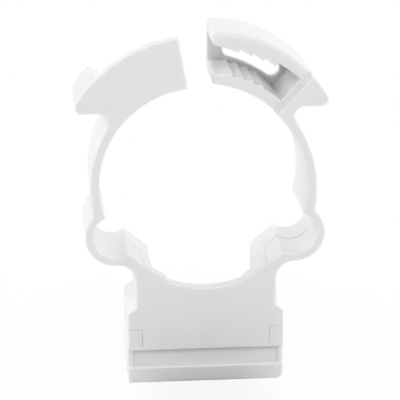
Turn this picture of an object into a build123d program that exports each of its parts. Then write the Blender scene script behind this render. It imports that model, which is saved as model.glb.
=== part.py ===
from build123d import *
import os
from math import acos, atan2, cos, degrees, hypot, radians, sin, sqrt, tan

# Pipe and whole clip, in millimetres
pipe_radius = 25.0
clip_depth = 22.0
plate_thickness = 3.5

# Base with its rail foot
base_width = 39.9
base_height = 18.8
shelf_rise = 1.5
neck_inset = 2.15
saddle_height = 25.2
floor_height = 13.0
foot_height = 4.3
foot_corner_radius = 1.7
foot_edge_round = 0.55
base_edge_round = 0.45
groove_height = 4.7
groove_depth = 1.5
groove_end_wall = 1.1
groove_end_setback = 0.6
groove_end_round = 1.0
groove_side_depth = 0.35
slit_inset = 3.6
slit_width = 0.1
slit_height = 4.7
slit_depth = 0.25
slit_gap = 1.0
tab_slant = 0.2

# Pipe seat and the hollow behind its plate
seat_relief_width = 19.0
seat_relief = 0.7
seat_step_run = 0.9
shoulder_sag = 0.8
hollow_wall = 4.2
slope_height = 30.0
lip_height = 0.06
lip_width = 1.5
relief_depth = 12.3
loop_relief = 0.12
loop_relief_shift = 0.145
loop_relief_angle = 65.0
left_slope_relief = 0.06
right_slope_relief = 0.2
relief_back_share = 0.58
relief_front_share = 0.69
left_ridge_drop = 0.08
right_ridge_drop = 0.9
left_ridge_round = 0.2
right_ridge_round = 1.2
back_ridge_round = 0.4

# Elastic hinge loops
hinge_clearance = 0.3
hinge_drop_angle = 24.9
hinge_offset = -0.17
hinge_inner_radius = 5.6
hinge_wall = 1.8
hinge_root_radius = 4.8
hinge_arm_radius = 1.6
ridge_angle = 53.0

# Arms, moulded open
arm_outer_radius = 31.35
arm_outer_drop = 0.9
tongue_arm_wall = 2.15
housing_arm_wall = 2.4
tongue_shift_x = -1.9
tongue_shift_z = 2.6
tongue_arm_radius = 25.0
housing_shift_x = -0.75
housing_shift_z = 1.5
housing_arm_radius = 26.35
ear_root_radius = 2.6
ear_tip_radius = 1.6
ear_spread_angle = 40.0

# Tongue arm, its plate and its toothed rib
tongue_crown_radius = 36.55
tongue_crown_height = 12.85
tongue_ear_rise = 19.0
tongue_shoulder_angle = 44.5
tongue_shoulder_round = 1.5
tongue_end_angle = 6.5
tongue_end_lean_angle = 9.7
tongue_end_bevel = 0.25
rib_low = 3.8
rib_high = 8.6
rib_depth = 12.5
rib_start_angle = 10.5

# Housing arm and its toothed channel
housing_crown_radius = 31.5
housing_crown_height = 12.8
housing_ear_rise = 20.9
mouth_x = 1.95
crown_offset = 1.05
riser_angle = 43.3
riser_slant = 0.6
channel_end_wall_angle = 0.8
channel_back_wall = 2.2
channel_mouth_height = 9.95
lower_tip = 3.4
lower_valley = 2.6
lower_end = 2.9
upper_tip = 9.0
upper_valley = 9.8
upper_end = 10.25
edge_round = 1.2
lead_round = 0.8

# Ratchet teeth
tooth_start_angle = 14.8
tooth_pitch_angle = 5.4
tooth_count = 4
tooth_undercut_angle = 0.6
tooth_depth = 0.7

# Window in the back wall of the channel
window_height = 4.2
window_middle = 6.2
window_start_angle = 15.5
window_end_wall_angle = 6.8
window_round = 0.6

# Places worked out from the sizes above
front = -clip_depth / 2
back = clip_depth / 2
relief_back = front + relief_depth
reach = 4 * pipe_radius
seat = (0.0, saddle_height + pipe_radius)
hinge_distance = pipe_radius + hinge_clearance
hinge_x = hinge_distance * cos(radians(hinge_drop_angle))
hinges = {-1: hinge_offset - hinge_x, 1: hinge_offset + hinge_x}
hinge_z = seat[1] - hinge_distance * sin(radians(hinge_drop_angle))
hinge_outer_radius = hinge_inner_radius + hinge_wall
tongue_axis = (tongue_shift_x, seat[1] + tongue_shift_z)
housing_axis = (housing_shift_x, seat[1] + housing_shift_z)
ridge_reach = hinge_inner_radius * cos(radians(ridge_angle))
ridges = {-1: hinges[-1] + ridge_reach, 1: hinges[1] - ridge_reach}
ridge_z = hinge_z - hinge_inner_radius * sin(radians(ridge_angle))
half_base = base_width / 2
half_neck = half_base - neck_inset
half_hollow = half_neck - hollow_wall
wall_x = half_hollow + lip_height
slope_foot_z = slope_height - lip_height


def spot(centre, radius, tilt):
    return (centre[0] + radius * sin(radians(tilt)), centre[1] + radius * cos(radians(tilt)))


# Disc with its seam turned to a point on a side that is cut away
def disc(centre, radius, seam=(0, 0)):
    turn = degrees(atan2(seam[1] - centre[1], seam[0] - centre[0]))
    return Pos(*centre) * Rot(0, 0, turn) * Circle(radius)


def region(*points):
    return make_face(Polyline(*points, close=True))


def slab(outline, front_y, back_y):
    plane = Plane(origin=(0, back_y, 0), x_dir=(1, 0, 0), z_dir=(0, -1, 0))
    return extrude(plane * outline, amount=back_y - front_y)


def wedge(centre, first_tilt, last_tilt):
    middle_tilt = (first_tilt + last_tilt) / 2
    return region(
        centre,
        spot(centre, reach, first_tilt),
        spot(centre, reach, middle_tilt),
        spot(centre, reach, last_tilt),
    )


def meeting(first, first_radius, second, second_radius, turn):
    run = hypot(second[0] - first[0], second[1] - first[1])
    heading = degrees(atan2(second[0] - first[0], second[1] - first[1]))
    share = (first_radius**2 + run**2 - second_radius**2) / (2 * first_radius * run)
    return spot(first, first_radius, heading + turn * degrees(acos(share)))


# Curved filling of a hollow corner, or the scrap taken off a sharp one
def web(centre, radius, first, second, corner):
    far_side = (2 * centre[0] - corner[0], 2 * centre[1] - corner[1])
    return region(corner, first, centre, second) - disc(centre, radius, far_side)


def toward(start, end, run):
    share = run / hypot(end[0] - start[0], end[1] - start[1])
    return (start[0] + (end[0] - start[0]) * share, start[1] + (end[1] - start[1]) * share)


# Direction of a loop, seen from the middle of its arm's curve
def hinge_tilt(side, axis):
    return degrees(atan2(hinges[side] - axis[0], hinge_z - axis[1]))


# Loop, side wall and slope of one side, open towards the pipe, and higher by the lip
def flank(side, axis, radius, relief, shift, lip):
    hinge = (hinges[side], hinge_z)
    hole = disc(spot(hinge, shift, side * loop_relief_angle), hinge_inner_radius - relief - lip, seat)
    crest = (ridges[side] - side * lip / 2, ridge_z + lip / 2)
    slope_foot = (side * (wall_x - lip), slope_foot_z + lip)
    slope_run = hypot(crest[0] - slope_foot[0], crest[1] - slope_foot[1])
    peak = toward(slope_foot, crest, slope_run + hinge_wall)
    root_x = half_neck + hinge_root_radius
    root_run = hinge_outer_radius + hinge_root_radius
    root_z = hinge_z - sqrt(root_run**2 - (side * root_x - hinge[0]) ** 2)
    root = (side * root_x, root_z)
    wall = region(
        (slope_foot[0], floor_height),
        (side * half_neck, floor_height),
        (side * half_neck, root_z),
        toward(hinge, root, hinge_outer_radius),
        peak,
        slope_foot,
    )
    opening = region(peak, hinge, axis, (0, slope_foot_z), slope_foot)
    opening += disc(axis, radius) & wedge(axis, 0, hinge_tilt(side, axis))
    loop = wall - disc(root, hinge_root_radius) + disc(hinge, hinge_outer_radius, seat)
    return loop - hole - opening


# Centre of an arm's outer curve, which thins the arm towards its middle
def outer_centre(side, axis, radius, wall):
    return (axis[0] + side * (radius + wall - arm_outer_radius), axis[1] - arm_outer_drop)


# Arm strip from its loop up to its head, with the curved corner on the loop
def arm(side, axis, radius, wall, head_tilt):
    hinge = (hinges[side], hinge_z)
    outer = outer_centre(side, axis, radius, wall)
    strip = disc(outer, arm_outer_radius) - disc(axis, radius)
    strip = strip & wedge(axis, side * head_tilt, hinge_tilt(side, axis))
    corner = meeting(outer, arm_outer_radius, hinge, hinge_outer_radius, -side)
    web_run = hinge_outer_radius + hinge_arm_radius
    web_spot = meeting(outer, arm_outer_radius + hinge_arm_radius, hinge, web_run, -side)
    corner_web = web(
        web_spot,
        hinge_arm_radius,
        toward(outer, web_spot, arm_outer_radius),
        toward(hinge, web_spot, hinge_outer_radius),
        corner,
    )
    return strip - disc(hinge, hinge_inner_radius, seat) + corner_web


# Ear standing off an arm, rounded at its tip and at its root
def ear(side, axis, radius, wall, crown, crown_radius, ear_z, head_tilt):
    outer = outer_centre(side, axis, radius, wall)
    above = region((-reach, ear_z), (reach, ear_z), (reach, 2 * reach), (-reach, 2 * reach))
    block = (disc(crown, crown_radius) - disc(axis, radius)) & above
    block = block & wedge(axis, side * head_tilt, side * (head_tilt + ear_spread_angle))
    tip_x = sqrt(crown_radius**2 - (ear_z - crown[1]) ** 2)
    tip = (crown[0] + side * tip_x, ear_z)
    inset = sqrt((crown_radius - ear_tip_radius) ** 2 - (ear_z + ear_tip_radius - crown[1]) ** 2)
    round_spot = (crown[0] + side * inset, ear_z + ear_tip_radius)
    scrap = web(
        round_spot,
        ear_tip_radius,
        (round_spot[0], ear_z - ear_tip_radius),
        toward(crown, round_spot, crown_radius + ear_tip_radius),
        toward(round_spot, tip, 2 * hypot(tip[0] - round_spot[0], tip[1] - round_spot[1])),
    )
    root_z = ear_z - ear_root_radius
    root_x = sqrt((arm_outer_radius + ear_root_radius) ** 2 - (root_z - outer[1]) ** 2)
    root = (outer[0] + side * root_x, root_z)
    corner_x = sqrt(arm_outer_radius**2 - (ear_z - outer[1]) ** 2)
    root_web = web(
        root,
        ear_root_radius,
        (root[0], ear_z),
        toward(outer, root, arm_outer_radius),
        (outer[0] + side * corner_x, ear_z),
    )
    return block - scrap + root_web


# Outline at one depth of the relief over a slope and its ridge
def relief_section(side, y, share, relief, ridge_drop, ridge_round):
    hinge = (hinges[side], hinge_z)
    crest = (ridges[side], ridge_z)
    slope_foot = (side * wall_x, slope_foot_z)
    run = hypot(slope_foot[0] - crest[0], slope_foot[1] - crest[1])
    inward = (side * (crest[1] - slope_foot[1]) / run, -side * (crest[0] - slope_foot[0]) / run)
    foot = toward(crest, slope_foot, share * run)
    low_crest = (crest[0], crest[1] - ridge_drop)
    outline = region(
        (foot[0] + relief * inward[0], foot[1] + relief * inward[1]),
        low_crest,
        (hinge[0], hinge_z - hinge_inner_radius),
        hinge,
        (foot[0] - hinge_wall * inward[0], foot[1] - hinge_wall * inward[1]),
    )
    outline = fillet(outline.vertices().sort_by_distance(low_crest)[0], ridge_round)
    return Plane(origin=(0, y, 0), x_dir=(1, 0, 0), z_dir=(0, -1, 0)) * outline


# Sawtooth points of one toothed edge, running from the mouth inward
def saw(axis, tip_radius, valley_radius, first_tilt, step):
    points = []
    for number in range(tooth_count):
        tilt = first_tilt + number * step
        points.append(spot(axis, tip_radius, tilt))
        points.append(spot(axis, valley_radius, tilt + tooth_undercut_angle * step / tooth_pitch_angle))
    return points


# Base block with shelf and foot
base_outline = region(
    (-half_base, 0),
    (half_base, 0),
    (half_base, base_height),
    (half_neck, base_height + shelf_rise),
    (-half_neck, base_height + shelf_rise),
    (-half_base, base_height),
)
foot_corner = (half_base - foot_corner_radius, foot_corner_radius)
base_outline = base_outline - web(
    foot_corner,
    foot_corner_radius,
    (foot_corner[0], -foot_corner_radius),
    (half_base + foot_corner_radius, foot_corner[1]),
    (half_base + foot_corner_radius, -foot_corner_radius),
)
hollow = region(
    (-wall_x, floor_height),
    (wall_x, floor_height),
    (wall_x, reach),
    (-wall_x, reach),
)
clip = slab(base_outline, front, back)
base_front = clip.faces().sort_by(Axis.Y)[0]
clip = fillet(base_front.edges().sort_by(Axis.X)[-1], base_edge_round)
clip -= slab(hollow, front + plate_thickness, back + plate_thickness)

# Seat plate between the two ridges
half_relief = seat_relief_width / 2
relief_z = seat[1] - sqrt(pipe_radius**2 - half_relief**2)
shoulder_x = half_relief + seat_step_run
shoulder_z = seat[1] - sqrt((pipe_radius - seat_relief) ** 2 - shoulder_x**2)
step_tilt = degrees(atan2(shoulder_x, shoulder_z - seat[1]))
ridge_tilt = degrees(atan2(ridges[1], ridge_z - seat[1]))
shoulder_tilt = (step_tilt + ridge_tilt) / 2
seat_edges = [
    ThreePointArc((-half_relief, relief_z), (0, saddle_height), (half_relief, relief_z)),
    Line((half_relief, relief_z), (shoulder_x, shoulder_z)),
    ThreePointArc(
        (shoulder_x, shoulder_z),
        spot(seat, pipe_radius - shoulder_sag, shoulder_tilt),
        (ridges[1], ridge_z),
    ),
    Line((ridges[1], ridge_z), (half_neck, slope_height)),
    Line((half_neck, slope_height), (half_neck, floor_height)),
    Line((half_neck, floor_height), (-half_neck, floor_height)),
    Line((-half_neck, floor_height), (-half_neck, slope_height)),
    Line((-half_neck, slope_height), (ridges[-1], ridge_z)),
    ThreePointArc(
        (ridges[-1], ridge_z),
        spot(seat, pipe_radius - shoulder_sag, -shoulder_tilt),
        (-shoulder_x, shoulder_z),
    ),
    Line((-shoulder_x, shoulder_z), (-half_relief, relief_z)),
]
clip += slab(make_face(seat_edges), front, front + plate_thickness)

# Loops, thin arms and ears through the full depth
tongue_top = tongue_axis[1] + tongue_arm_radius + tongue_crown_height
tongue_crown = (tongue_axis[0], tongue_top - tongue_crown_radius)
housing_top = housing_axis[1] + housing_arm_radius + housing_crown_height
housing_crown = (mouth_x + crown_offset, housing_top - housing_crown_radius)
tongue_ear_z = tongue_axis[1] + tongue_ear_rise
housing_ear_z = housing_axis[1] + housing_ear_rise
left = flank(-1, tongue_axis, tongue_arm_radius, 0, 0, 0)
left += arm(-1, tongue_axis, tongue_arm_radius, tongue_arm_wall, tongue_shoulder_angle)
left += ear(
    -1,
    tongue_axis,
    tongue_arm_radius,
    tongue_arm_wall,
    tongue_crown,
    tongue_crown_radius,
    tongue_ear_z,
    tongue_shoulder_angle,
)
shoulder_drop = tongue_axis[1] - tongue_crown[1]
shoulder_reach = sqrt(tongue_crown_radius**2 - (shoulder_drop * sin(radians(tongue_shoulder_angle))) ** 2)
shoulder_reach -= shoulder_drop * cos(radians(tongue_shoulder_angle))
shoulder_corner = spot(tongue_axis, shoulder_reach, -tongue_shoulder_angle)
left = fillet(left.vertices().sort_by_distance(shoulder_corner)[0], tongue_shoulder_round)
right = flank(1, housing_axis, housing_arm_radius, loop_relief, loop_relief_shift, 0)
right = fillet(right.vertices().sort_by_distance((ridges[1], ridge_z))[0], back_ridge_round)
right += arm(1, housing_axis, housing_arm_radius, housing_arm_wall, riser_angle)
right += ear(
    1,
    housing_axis,
    housing_arm_radius,
    housing_arm_wall,
    housing_crown,
    housing_crown_radius,
    housing_ear_z,
    riser_angle,
)
clip += slab(left, front, back)
clip += slab(right, front, back)
left_lip = flank(-1, tongue_axis, tongue_arm_radius, 0, 0, lip_height)
clip += slab(left_lip, back - lip_width, back)

# Rail grooves, slits and side tabs
half_groove = half_base - groove_end_wall
groove = region(
    (-half_groove, foot_height),
    (half_groove, foot_height),
    (half_groove, foot_height + groove_height),
    (-half_groove, foot_height + groove_height),
)
groove_setback = region(
    (-half_base, foot_height),
    (half_base, foot_height),
    (half_base, foot_height + groove_height),
    (-half_base, foot_height + groove_height),
)
side_groove = region(
    (half_base - groove_side_depth, foot_height),
    (half_base + groove_side_depth, foot_height),
    (half_base + groove_side_depth, foot_height + groove_height),
    (half_base - groove_side_depth, foot_height + groove_height),
)
clip -= slab(side_groove, front, front + groove_depth)
clip -= slab(mirror(side_groove, about=Plane.YZ), front, front + groove_depth)
clip -= slab(groove_setback, front - groove_end_setback, front + groove_end_setback)
front_groove = slab(groove, front - groove_depth, front + groove_depth)
groove_corners = front_groove.edges().filter_by(Axis.Z).sort_by(Axis.Y)[-2:]
front_groove = fillet(groove_corners, groove_end_round)
clip -= front_groove
clip -= mirror(front_groove, about=Plane.XZ)
foot_edge = (front + foot_edge_round, foot_height - foot_edge_round)
foot_scrap = web(
    foot_edge,
    foot_edge_round,
    (front - foot_edge_round, foot_edge[1]),
    (foot_edge[0], foot_height + foot_edge_round),
    (front - foot_edge_round, foot_height + foot_edge_round),
)
foot_plane = Plane(origin=(-half_base, 0, 0), x_dir=(0, 1, 0), z_dir=(1, 0, 0))
clip -= extrude(foot_plane * foot_scrap, amount=base_width)
slit_low = foot_height + groove_height + slit_gap
for side in (-1, 1):
    slit_x = side * (half_base - slit_inset)
    slit = region(
        (slit_x - slit_width / 2, slit_low),
        (slit_x + slit_width / 2, slit_low),
        (slit_x + slit_width / 2, slit_low + slit_height),
        (slit_x - slit_width / 2, slit_low + slit_height),
    )
    clip -= slab(slit, front - slit_depth, front + slit_depth)
    tab = make_face(
        Polyline(
            (front, foot_height + groove_height),
            (front + tab_slant, slit_low + slit_height),
            (front, slit_low + slit_height),
            close=True,
        )
    )
    tab_plane = Plane(origin=(slit_x, 0, 0), x_dir=(0, 1, 0), z_dir=(1, 0, 0))
    clip -= extrude(tab_plane * tab, amount=side * slit_inset)

# Shallow relief in the front of the right loop and over both slopes and ridges
clip -= slab(disc((hinges[1], hinge_z), hinge_inner_radius, seat), front, relief_back)
for side, relief, ridge_drop, ridge_round in (
    (-1, left_slope_relief, left_ridge_drop, left_ridge_round),
    (1, right_slope_relief, right_ridge_drop, right_ridge_round),
):
    relief_front = relief_section(side, front, relief_front_share, relief, ridge_drop, ridge_round)
    relief_end = relief_section(side, relief_back, relief_back_share, relief, relief, ridge_round)
    clip -= loft([relief_front, relief_end], ruled=True)

# Tongue plate at the front with its toothed rib behind
rib_root = -tongue_shoulder_angle - tooth_pitch_angle
end_low = spot(tongue_axis, tongue_arm_radius, -tongue_end_angle)
end_high = spot(end_low, reach, -tongue_end_lean_angle)
plate_bounds = region(
    tongue_axis,
    spot(tongue_axis, reach, rib_root),
    spot(tongue_axis, reach, (rib_root - tongue_end_angle) / 2),
    end_high,
    end_low,
)
plate_outline = disc(tongue_crown, tongue_crown_radius) - disc(tongue_axis, tongue_arm_radius)
plate = slab(plate_outline & plate_bounds, front, front + plate_thickness)
plate_front = plate.faces().sort_by(Axis.Y)[0]
plate = chamfer(plate_front.edges().sort_by(Axis.X)[-1], tongue_end_bevel)
rib_low_radius = tongue_arm_radius + rib_low
rib_high_radius = tongue_arm_radius + rib_high
rib_first = -rib_start_angle - tooth_pitch_angle
rib_last = rib_first - (tooth_count - 1) * tooth_pitch_angle - tooth_undercut_angle
low_saw = saw(tongue_axis, rib_low_radius - tooth_depth, rib_low_radius, rib_first, -tooth_pitch_angle)
high_saw = saw(tongue_axis, rib_high_radius + tooth_depth, rib_high_radius, rib_first, -tooth_pitch_angle)
rib_low_start = spot(tongue_axis, rib_low_radius, -rib_start_angle)
rib_high_start = spot(tongue_axis, rib_high_radius, -rib_start_angle)
rib_edges = [
    Polyline(rib_low_start, *low_saw),
    ThreePointArc(
        low_saw[-1],
        spot(tongue_axis, rib_low_radius, (rib_last + rib_root) / 2),
        spot(tongue_axis, rib_low_radius, rib_root),
    ),
    Line(spot(tongue_axis, rib_low_radius, rib_root), spot(tongue_axis, rib_high_radius, rib_root)),
    ThreePointArc(
        spot(tongue_axis, rib_high_radius, rib_root),
        spot(tongue_axis, rib_high_radius, (rib_last + rib_root) / 2),
        high_saw[-1],
    ),
    Polyline(*reversed(high_saw), rib_high_start),
    Line(rib_high_start, rib_low_start),
]
plate += slab(make_face(rib_edges), front + plate_thickness, front + plate_thickness + rib_depth)
clip += plate

# Housing with its toothed channel, set back behind the tongue plate
mouth_low = housing_axis[1] + (mouth_x - housing_axis[0]) / tan(radians(riser_angle))
housing_bounds = region(
    (mouth_x, mouth_low),
    (mouth_x, housing_axis[1] + reach),
    spot(housing_axis, reach, riser_angle),
)
housing_outline = disc(housing_crown, housing_crown_radius) - disc(housing_axis, housing_arm_radius)
housing = slab(housing_outline & housing_bounds, front + plate_thickness, back)
housing_front = housing.faces().sort_by(Axis.Y)[0]
crown_edge = housing_front.edges().sort_by(Axis.Z)[-1]
housing = fillet(crown_edge, edge_round)
housing_front = housing.faces().filter_by(Axis.Y).sort_by(Axis.Y)[0]
mouth_edge = housing_front.edges().sort_by(Axis.X)[0]
housing = fillet(mouth_edge, edge_round)
last_tilt = tooth_start_angle + (tooth_count - 1) * tooth_pitch_angle + tooth_undercut_angle
channel_end = riser_angle - channel_end_wall_angle
arc_tilt = (last_tilt + channel_end) / 2
low_end = housing_arm_radius + lower_end
high_end = housing_arm_radius + upper_end
low_teeth = saw(
    housing_axis,
    housing_arm_radius + lower_tip,
    housing_arm_radius + lower_valley,
    tooth_start_angle,
    tooth_pitch_angle,
)
high_teeth = saw(
    housing_axis,
    housing_arm_radius + upper_tip,
    housing_arm_radius + upper_valley,
    tooth_start_angle,
    tooth_pitch_angle,
)
low_teeth[-1] = spot(housing_axis, low_end, last_tilt)
high_teeth[-1] = spot(housing_axis, high_end, last_tilt)
outside_x = mouth_x - plate_thickness
mouth_top = housing_axis[1] + housing_arm_radius + channel_mouth_height
channel_edges = [
    Polyline((outside_x, low_teeth[0][1]), *low_teeth),
    ThreePointArc(
        low_teeth[-1],
        spot(housing_axis, low_end, arc_tilt),
        spot(housing_axis, low_end, channel_end),
    ),
    Line(spot(housing_axis, low_end, channel_end), spot(housing_axis, high_end, channel_end)),
    ThreePointArc(
        spot(housing_axis, high_end, channel_end),
        spot(housing_axis, high_end, arc_tilt),
        high_teeth[-1],
    ),
    Polyline(
        *reversed(high_teeth),
        (mouth_x, mouth_top),
        (outside_x, mouth_top),
        (outside_x, low_teeth[0][1]),
    ),
]
housing -= slab(make_face(channel_edges), front, back - channel_back_wall)
window_radius = housing_arm_radius + window_middle
window_end = riser_angle - window_end_wall_angle
window_path = ThreePointArc(
    spot(housing_axis, window_radius, window_start_angle),
    spot(housing_axis, window_radius, (window_start_angle + window_end) / 2),
    spot(housing_axis, window_radius, window_end),
)
window = SlotArc(window_path, window_height)
housing -= slab(window, back - 2 * channel_back_wall, back + channel_back_wall)
pierced = housing.faces().filter_by(Axis.Y).filter_by(lambda face: len(face.inner_wires()) > 0)
window_rim = pierced.sort_by(Axis.Y)[0].inner_wires()[0]
housing = fillet(window_rim.edges(), window_round)
lead_middle = ((mouth_x + low_teeth[0][0]) / 2, front + plate_thickness, low_teeth[0][1])
lead_edge = housing.edges().sort_by_distance(lead_middle)[0]
housing = fillet(lead_edge, lead_round)
clip += housing

# Slanted riser between the set-back housing and its ear
riser_spot = spot(housing_axis, housing_arm_radius - plate_thickness, riser_angle)
riser_plane = Plane(
    origin=(riser_spot[0], front, riser_spot[1]),
    x_dir=(cos(radians(riser_angle)), 0, -sin(radians(riser_angle))),
    z_dir=(sin(radians(riser_angle)), 0, cos(radians(riser_angle))),
)
riser_scrap = region((0, -riser_slant), (riser_slant, 0), (0, plate_thickness))
clip -= extrude(riser_plane * riser_scrap, amount=2 * housing_crown_height)

os.makedirs("parts", exist_ok=True)
export_step(clip, "parts/pipe_clip.step")
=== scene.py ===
import math

import bpy
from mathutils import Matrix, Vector

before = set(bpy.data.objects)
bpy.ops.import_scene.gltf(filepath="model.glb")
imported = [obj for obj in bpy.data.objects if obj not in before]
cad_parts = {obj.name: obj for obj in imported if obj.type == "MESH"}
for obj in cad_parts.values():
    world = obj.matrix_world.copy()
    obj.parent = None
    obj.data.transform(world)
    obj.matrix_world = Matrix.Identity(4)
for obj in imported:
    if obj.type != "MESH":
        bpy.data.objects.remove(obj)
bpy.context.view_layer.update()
scene = bpy.context.scene
scene.view_settings.view_transform = "Standard"
millimetre = 0.001
plainWhite = (1.0, 1.0, 1.0, 1.0)


def setInputs(node, values):
    for name, value in values.items():
        node.inputs[name].default_value = value


def addNode(tree, kind, place, **values):
    node = tree.nodes.new(kind)
    node.location = place
    for name, value in values.items():
        setattr(node, name, value)
    return node


# Soft step between two values, upwards or downwards
def addFade(tree, place, values):
    fade = addNode(tree, "ShaderNodeMapRange", place, interpolation_type="SMOOTHSTEP")
    setInputs(fade, values)
    return fade


# Moulded surface: fine grain, slow flow clouds and a few scuffs, for anything cast in plastic
grainValues = {
    "sockets": {"Grain Scale": 900.0, "Flow Scale": 45.0, "Flow Share": 0.5, "Scuff Scale": 160.0},
    "grain": {"Detail": 3.0, "Roughness": 0.6},
    "flow": {"Detail": 1.5, "Roughness": 0.5, "Distortion": 0.6},
    "marks": {"Detail": 4.0, "Roughness": 0.65, "Distortion": 0.3},
    "marksRun": {"Scale": (1.0, 1.0, 0.15), "Rotation": (0.3, 0.5, 0.2)},  # long scuffs, askew
    "marksCut": {"From Min": 0.58, "From Max": 0.72},                      # only the peaks are scuffs
}


def makeMouldedGrain(values):
    tree = bpy.data.node_groups.new("mouldedGrain", "ShaderNodeTree")
    face = tree.interface
    for name, value in values["sockets"].items():
        socket = face.new_socket(name=name, in_out="INPUT", socket_type="NodeSocketFloat")
        socket.default_value = value
    for name in ("Height", "Tone", "Scuff"):
        face.new_socket(name=name, in_out="OUTPUT", socket_type="NodeSocketFloat")
    goesIn = addNode(tree, "NodeGroupInput", (-900, 0))
    goesOut = addNode(tree, "NodeGroupOutput", (500, 0))
    place = addNode(tree, "ShaderNodeTexCoord", (-900, 300))
    grain = addNode(tree, "ShaderNodeTexNoise", (-450, 300))
    setInputs(grain, values["grain"])
    flow = addNode(tree, "ShaderNodeTexNoise", (-450, 0))
    setInputs(flow, values["flow"])
    stretched = addNode(tree, "ShaderNodeMapping", (-680, -300))
    setInputs(stretched, values["marksRun"])
    marks = addNode(tree, "ShaderNodeTexNoise", (-450, -300))
    setInputs(marks, values["marks"])
    few = addFade(tree, (-150, -300), values["marksCut"])
    both = addNode(tree, "ShaderNodeMix", (150, 200))

    link = tree.links.new
    link(place.outputs["Object"], grain.inputs["Vector"])
    link(place.outputs["Object"], flow.inputs["Vector"])
    link(place.outputs["Object"], stretched.inputs["Vector"])
    link(stretched.outputs["Vector"], marks.inputs["Vector"])
    link(goesIn.outputs["Grain Scale"], grain.inputs["Scale"])
    link(goesIn.outputs["Flow Scale"], flow.inputs["Scale"])
    link(goesIn.outputs["Scuff Scale"], marks.inputs["Scale"])
    link(goesIn.outputs["Flow Share"], both.inputs["Factor"])
    link(grain.outputs["Fac"], both.inputs["A"])
    link(flow.outputs["Fac"], both.inputs["B"])
    link(marks.outputs["Fac"], few.inputs["Value"])
    link(both.outputs["Result"], goesOut.inputs["Height"])
    link(flow.outputs["Fac"], goesOut.inputs["Tone"])
    link(few.outputs["Result"], goesOut.inputs["Scuff"])
    return tree


mouldedGrain = makeMouldedGrain(grainValues)
print("grain group ready")

clipFinish = {
    "colour": (0.868, 0.866, 0.86, 1.0),
    "flowColour": (0.852, 0.85, 0.843, 1.0),
    "smooth": 0.28,                            # roughness of the clean skin
    "dull": 0.4,                               # roughness in the flow clouds
    "scuffDull": 0.55,
    "scuffShare": 0.35,
    "grainHeight": 0.02,                       # mm
    "grainStrength": 0.15,
    "edgeRound": 0.3,                          # mm
    "edgeHighlightWidth": 0.4,                          # mm
    "edgeHighlightColour": (0.96, 0.96, 0.955, 1.0),
    "edgeHighlightCut": {"From Min": 0.98, "From Max": 0.72, "To Max": 0.8},
    "creaseReach": 0.5,                        # mm
    "creaseShadeColour": (0.3, 0.295, 0.285, 1.0),
    "creaseCut": {"From Min": 0.4, "From Max": 0.15},
    "glow": 0.35,                              # share of light that wanders through the plastic
    "glowDepth": 0.8,                          # mm
    "glowColour": (1.0, 1.0, 0.9),
}


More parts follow.
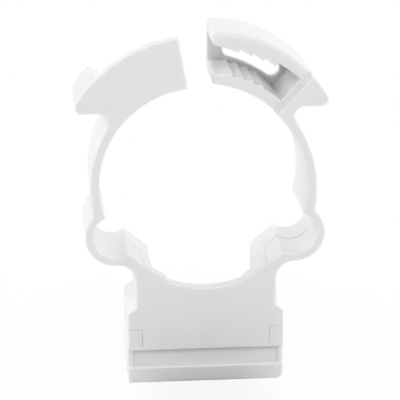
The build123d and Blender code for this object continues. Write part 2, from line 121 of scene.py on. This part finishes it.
def makeWhitePlastic(finish):
    material = bpy.data.materials.new("whitePlastic")
    material.use_nodes = True
    tree = material.node_tree
    link = tree.links.new
    shader = tree.nodes["Principled BSDF"]
    setInputs(shader, {
        "Subsurface Weight": finish["glow"],
        "Subsurface Radius": finish["glowColour"],
        "Subsurface Scale": finish["glowDepth"] * millimetre,
    })
    grain = addNode(tree, "ShaderNodeGroup", (-1300, -100), node_tree=mouldedGrain)

    # Painted highlight: outward edges, where little plastic lies behind the surface, are painted
    # paler as if catching the light
    tone = addNode(tree, "ShaderNodeMix", (-800, 300), data_type="RGBA")
    setInputs(tone, {"A": finish["colour"], "B": finish["flowColour"]})
    nearEdge = addNode(tree, "ShaderNodeAmbientOcclusion", (-1500, -700),
                   inside=True, only_local=True, samples=8)
    setInputs(nearEdge, {"Distance": finish["edgeHighlightWidth"] * millimetre})
    onHighlightedEdge = addFade(tree, (-1100, -600), finish["edgeHighlightCut"])
    highlightedRim = addNode(tree, "ShaderNodeMix", (-500, 300), data_type="RGBA")
    setInputs(highlightedRim, {"B": finish["edgeHighlightColour"]})
    link(grain.outputs["Tone"], tone.inputs["Factor"])
    link(nearEdge.outputs["AO"], onHighlightedEdge.inputs["Value"])
    link(tone.outputs["Result"], highlightedRim.inputs["A"])
    link(onHighlightedEdge.outputs["Result"], highlightedRim.inputs["Factor"])

    # Painted shade: slits and tooth roots are painted darker than plain corners, as if in shadow
    crease = addNode(tree, "ShaderNodeAmbientOcclusion", (-800, 600), only_local=True, samples=8)
    setInputs(crease, {"Distance": finish["creaseReach"] * millimetre})
    inCrease = addFade(tree, (-500, 600), finish["creaseCut"])
    creaseShaded = addNode(tree, "ShaderNodeMix", (-250, 300), data_type="RGBA")
    setInputs(creaseShaded, {"B": finish["creaseShadeColour"]})
    link(crease.outputs["AO"], inCrease.inputs["Value"])
    link(inCrease.outputs["Result"], creaseShaded.inputs["Factor"])
    link(highlightedRim.outputs["Result"], creaseShaded.inputs["A"])
    link(creaseShaded.outputs["Result"], shader.inputs["Base Color"])

    # Duller in the flow clouds and on the scuffs
    sheen = addNode(tree, "ShaderNodeMix", (-800, 0))
    setInputs(sheen, {"A": finish["smooth"], "B": finish["dull"]})
    rubbed = addNode(tree, "ShaderNodeMix", (-500, 0))
    setInputs(rubbed, {"B": finish["scuffDull"]})
    rubShare = addNode(tree, "ShaderNodeMath", (-800, -200), operation="MULTIPLY")
    rubShare.inputs[1].default_value = finish["scuffShare"]
    link(grain.outputs["Tone"], sheen.inputs["Factor"])
    link(grain.outputs["Scuff"], rubShare.inputs[0])
    link(sheen.outputs["Result"], rubbed.inputs["A"])
    link(rubShare.outputs["Value"], rubbed.inputs["Factor"])
    link(rubbed.outputs["Result"], shader.inputs["Roughness"])

    # Softly rounded edges under the grain
    edge = addNode(tree, "ShaderNodeBevel", (-1500, -500), samples=6)
    setInputs(edge, {"Radius": finish["edgeRound"] * millimetre})
    bump = addNode(tree, "ShaderNodeBump", (-300, -300))
    setInputs(bump, {
        "Strength": finish["grainStrength"],
        "Distance": finish["grainHeight"] * millimetre,
    })
    link(grain.outputs["Height"], bump.inputs["Height"])
    link(edge.outputs["Normal"], bump.inputs["Normal"])
    link(bump.outputs["Normal"], shader.inputs["Normal"])
    return material


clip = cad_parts["pipe_clip"]
clip.material_slots[0].material = makeWhitePlastic(clipFinish)
print("clip finished")


# White to the camera and in reflections; everything else sees the lit surface
def addWhiteRays(tree):
    link = tree.links.new
    rays = addNode(tree, "ShaderNodeLightPath", (-900, 500))
    either = addNode(tree, "ShaderNodeMath", (-650, 500), operation="MAXIMUM")
    anyRay = addNode(tree, "ShaderNodeMath", (-450, 500), operation="MAXIMUM")
    link(rays.outputs["Is Camera Ray"], either.inputs[0])
    link(rays.outputs["Is Glossy Ray"], either.inputs[1])
    link(either.outputs["Value"], anyRay.inputs[0])
    link(rays.outputs["Is Transmission Ray"], anyRay.inputs[1])
    return anyRay.outputs["Value"]


stageValues = {
    "size": 4.0,                               # m
    "pale": (0.85, 0.85, 0.85, 1.0),
    "roughness": 0.9,
    "shadowPatchColour": (0.2, 0.2, 0.2, 1.0),
    "patchMiddle": (0.0, -20.0, 0.0),          # mm
    "patchInner": 8.0,                         # mm
    "patchOuter": 22.0,                        # mm
    "shadowNear": 25.0,                        # mm from the middle
    "shadowFar": 90.0,                         # mm
    "whiteNear": 0.91,
    "whiteFar": 1.0,
}


def makeStage(values):
    bpy.ops.mesh.primitive_plane_add(size=values["size"], location=(0, 0, 0))
    floor = bpy.context.object
    floor.name = "floor"
    material = bpy.data.materials.new("paleFloor")
    material.use_nodes = True
    tree = material.node_tree
    link = tree.links.new
    shader = tree.nodes["Principled BSDF"]
    setInputs(shader, {"Roughness": values["roughness"]})
    place = addNode(tree, "ShaderNodeTexCoord", (-1300, 0))

    # Painted shadow: a soft grey patch on the floor in front keeps some light off the foot and the
    # groove
    fromPatch = addNode(tree, "ShaderNodeVectorMath", (-1050, 150), operation="DISTANCE")
    fromPatch.inputs[1].default_value = Vector(values["patchMiddle"]) * millimetre
    fade = addFade(tree, (-800, 150), {
        "From Min": values["patchInner"] * millimetre,
        "From Max": values["patchOuter"] * millimetre,
    })
    colour = addNode(tree, "ShaderNodeMix", (-500, 150), data_type="RGBA")
    setInputs(colour, {"A": values["shadowPatchColour"], "B": values["pale"]})
    link(place.outputs["Object"], fromPatch.inputs[0])
    link(fromPatch.outputs["Value"], fade.inputs["Value"])
    link(fade.outputs["Result"], colour.inputs["Factor"])
    link(colour.outputs["Result"], shader.inputs["Base Color"])

    # The shadow shows near the clip, and the floor is plain white further off
    fromClip = addNode(tree, "ShaderNodeVectorMath", (-1050, -200), operation="LENGTH")
    whiter = addFade(tree, (-800, -200), {
        "From Min": values["shadowNear"] * millimetre,
        "From Max": values["shadowFar"] * millimetre,
        "To Min": values["whiteNear"],
        "To Max": values["whiteFar"],
    })
    share = addNode(tree, "ShaderNodeMath", (0, 400), operation="MULTIPLY")
    seen = addNode(tree, "ShaderNodeEmission", (0, -300))
    setInputs(seen, {"Color": plainWhite, "Strength": 1.0})
    mix = addNode(tree, "ShaderNodeMixShader", (300, 100))
    link(place.outputs["Object"], fromClip.inputs[0])
    link(fromClip.outputs["Value"], whiter.inputs["Value"])
    link(addWhiteRays(tree), share.inputs[0])
    link(whiter.outputs["Result"], share.inputs[1])
    link(share.outputs["Value"], mix.inputs["Fac"])
    link(shader.outputs["BSDF"], mix.inputs[1])
    link(seen.outputs["Emission"], mix.inputs[2])
    link(mix.outputs["Shader"], tree.nodes["Material Output"].inputs["Surface"])
    floor.data.materials.append(material)


makeStage(stageValues)
print("floor ready")

# Soft studio all round: an even level and a few wide glows, each towards one side
worldValues = {
    "even": 0.02,
    "tight": 4.0,                              # higher is narrower
    "glows": {
        "left": {"towards": (-0.93, 0.34, 0.21), "level": 2.55},
        "right": {"towards": (0.93, 0.34, 0.21), "level": 2.15},
        "back": {"towards": (0.0, 1.0, 0.21), "level": 0.65},
        "rightHigh": {"towards": (0.57, 0.0, 0.82), "level": 0.7},
    },
}


def makeWorld(values):
    world = bpy.data.worlds.new("studio")
    scene.world = world
    world.use_nodes = True
    tree = world.node_tree
    link = tree.links.new
    heading = addNode(tree, "ShaderNodeTexCoord", (-1400, 0))
    total = None
    for row, glow in enumerate(values["glows"].values()):
        down = -250 * row
        facing = addNode(tree, "ShaderNodeVectorMath", (-1150, down), operation="DOT_PRODUCT")
        facing.inputs[1].default_value = Vector(glow["towards"]).normalized()
        front = addNode(tree, "ShaderNodeMath", (-950, down), operation="MAXIMUM")
        front.inputs[1].default_value = 0.0
        fade = addNode(tree, "ShaderNodeMath", (-750, down), operation="POWER")
        fade.inputs[1].default_value = values["tight"]
        add = addNode(tree, "ShaderNodeMath", (-550, down), operation="MULTIPLY_ADD")
        add.inputs[1].default_value = glow["level"]
        add.inputs[2].default_value = values["even"]
        link(heading.outputs["Generated"], facing.inputs[0])
        link(facing.outputs["Value"], front.inputs[0])
        link(front.outputs["Value"], fade.inputs[0])
        link(fade.outputs["Value"], add.inputs[0])
        if total:                              # the first glow starts from the even level
            link(total, add.inputs[2])
        total = add.outputs["Value"]
    lit = tree.nodes["Background"]
    setInputs(lit, {"Color": plainWhite})
    seen = addNode(tree, "ShaderNodeBackground", (0, -200))
    setInputs(seen, {"Color": plainWhite, "Strength": 1.0})
    mix = addNode(tree, "ShaderNodeMixShader", (250, 0))
    link(total, lit.inputs["Strength"])
    link(addWhiteRays(tree), mix.inputs["Fac"])
    link(lit.outputs["Background"], mix.inputs[1])
    link(seen.outputs["Background"], mix.inputs[2])
    link(mix.outputs["Shader"], tree.nodes["World Output"].inputs["Surface"])


makeWorld(worldValues)
print("world ready")

# Each box is turned about the clip from straight in front, to the right and upwards
softboxValues = {
    "aim": (0.0, 0.0, 0.05),                   # m
    "distance": 2.0,                           # m
    "size": (1.0, 0.62),                       # m
    "boxes": {
        "frontBox": {"round": 0.0, "up": 45.0, "power": 11.0},
        "leftBox": {"round": -30.0, "up": 28.0, "power": 3.8},
        "rightBox": {"round": 22.0, "up": 28.0, "power": 2.4},
    },
}


def makeSoftbox(name, values, box):
    data = bpy.data.lights.new(name, "AREA")
    data.shape = "RECTANGLE"
    data.size, data.size_y = values["size"]
    data.energy = box["power"]
    around, up = math.radians(box["round"]), math.radians(box["up"])
    level = math.cos(up)
    heading = Vector((math.sin(around) * level, -math.cos(around) * level, math.sin(up)))
    lamp = bpy.data.objects.new(name, data)
    lamp.location = Vector(values["aim"]) + heading * values["distance"]
    lamp.rotation_euler = (-heading).to_track_quat("-Z", "Y").to_euler()
    scene.collection.objects.link(lamp)


for name, box in softboxValues["boxes"].items():
    makeSoftbox(name, softboxValues, box)
print("lamps ready")

cameraValues = {
    "place": (-0.04464, -0.48753, 0.19575),    # m
    "tilt": 72.94,
    "turn": -5.16,
    "lens": 179.17,                            # mm
    "sensor": 36.0,                            # mm
}


def makeCamera(values):
    data = bpy.data.cameras.new("camera")
    data.sensor_width = values["sensor"]
    data.lens = values["lens"]
    camera = bpy.data.objects.new("camera", data)
    camera.location = values["place"]
    camera.rotation_euler = (math.radians(values["tilt"]), 0, math.radians(values["turn"]))
    scene.collection.objects.link(camera)
    scene.camera = camera


makeCamera(cameraValues)
print("camera ready")
